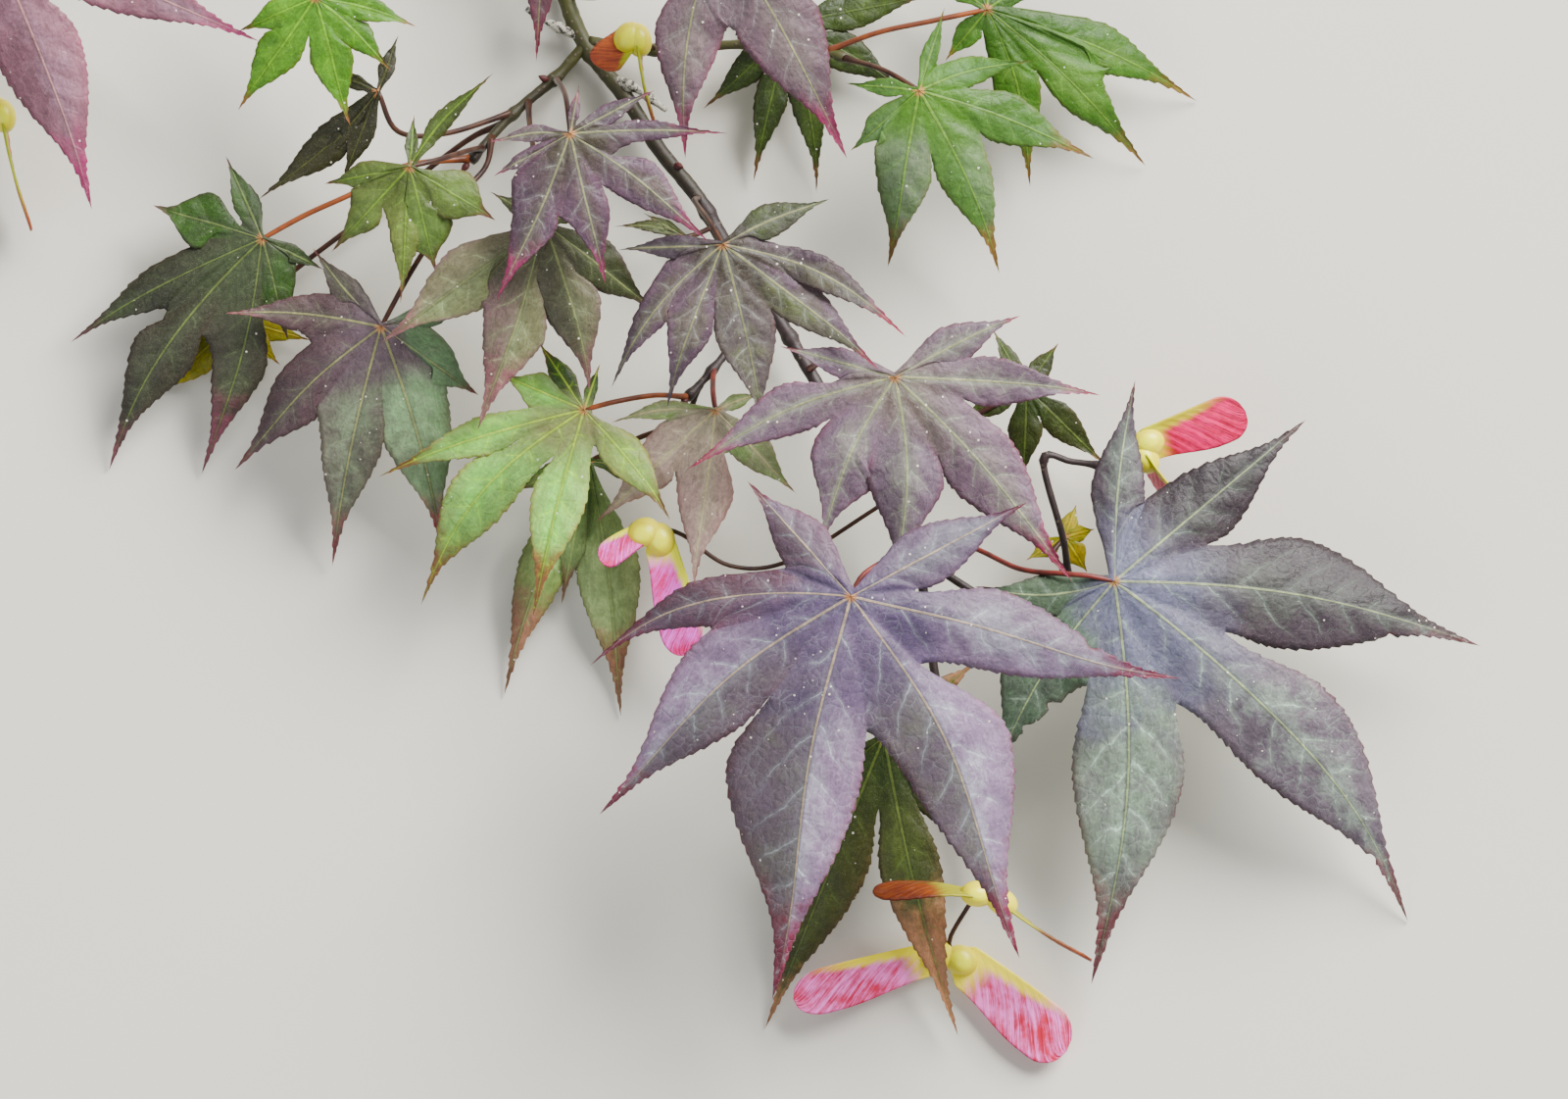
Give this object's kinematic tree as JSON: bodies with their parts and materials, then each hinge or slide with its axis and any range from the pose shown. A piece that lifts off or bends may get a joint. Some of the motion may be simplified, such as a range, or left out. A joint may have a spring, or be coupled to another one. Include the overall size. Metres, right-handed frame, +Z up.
{
  "type": "cut leafy maple branch with winged keys",
  "caption": "Cut branch of a palmate-leaved maple, lying flat with its leaves face up in overlapping tiers and paired winged keys hanging on thin stalks.",
  "frame": {"origin": "under the middle of the branch's box, at the height of the surface that it lies on", "axes": "+X across the spread of the branch, +Y towards the stem's cut end, +Z up out of the leaves' faces"},
  "size_m": [0.2366, 0.1854, 0.0444],
  "materials": {
    "bark": "matte",
    "lichen_bark": "matte",
    "purple_leaf": "satin",
    "dusky_leaf": "satin",
    "green_leaf": "satin",
    "lime_leaf": "satin",
    "key_wing": "satin"
  },
  "bodies": {
    "root": {"main_stem": "bark", "left_twig": "bark", "right_twig": "bark", "top_twig": "bark", "middle_twig": "bark", "low_stalk": "bark", "right_stalk": "bark", "dead_twig": "lichen_bark", "dead_spur": "lichen_bark", "front_leaf": "purple_leaf", "right_leaf": "purple_leaf", "middle_leaf": "purple_leaf", "upper_leaf": "dusky_leaf", "tip_leaf": "dusky_leaf", "back_leaf": "dusky_leaf", "lime_leaf": "lime_leaf", "small_leaf": "dusky_leaf", "low_left_leaf": "green_leaf", "bright_leaf": "lime_leaf", "shade_leaf": "purple_leaf", "far_leaf": "green_leaf", "dark_leaf": "green_leaf", "yellow_leaf": "lime_leaf", "top_leaf": "purple_leaf", "under_top_leaf": "green_leaf", "high_right_leaf": "green_leaf", "green_corner_leaf": "green_leaf", "corner_leaf": "lime_leaf", "big_corner_leaf": "purple_leaf", "stem_leaf": "purple_leaf", "young_leaf": "green_leaf", "right_back_leaf": "green_leaf", "low_back_leaf": "green_leaf", "curled_leaf": "lime_leaf", "low_key": "key_wing", "mid_key": "key_wing", "right_key": "key_wing", "left_key": "key_wing", "top_key": "key_wing", "corner_key": "key_wing"}
  },
  "joints": []
}
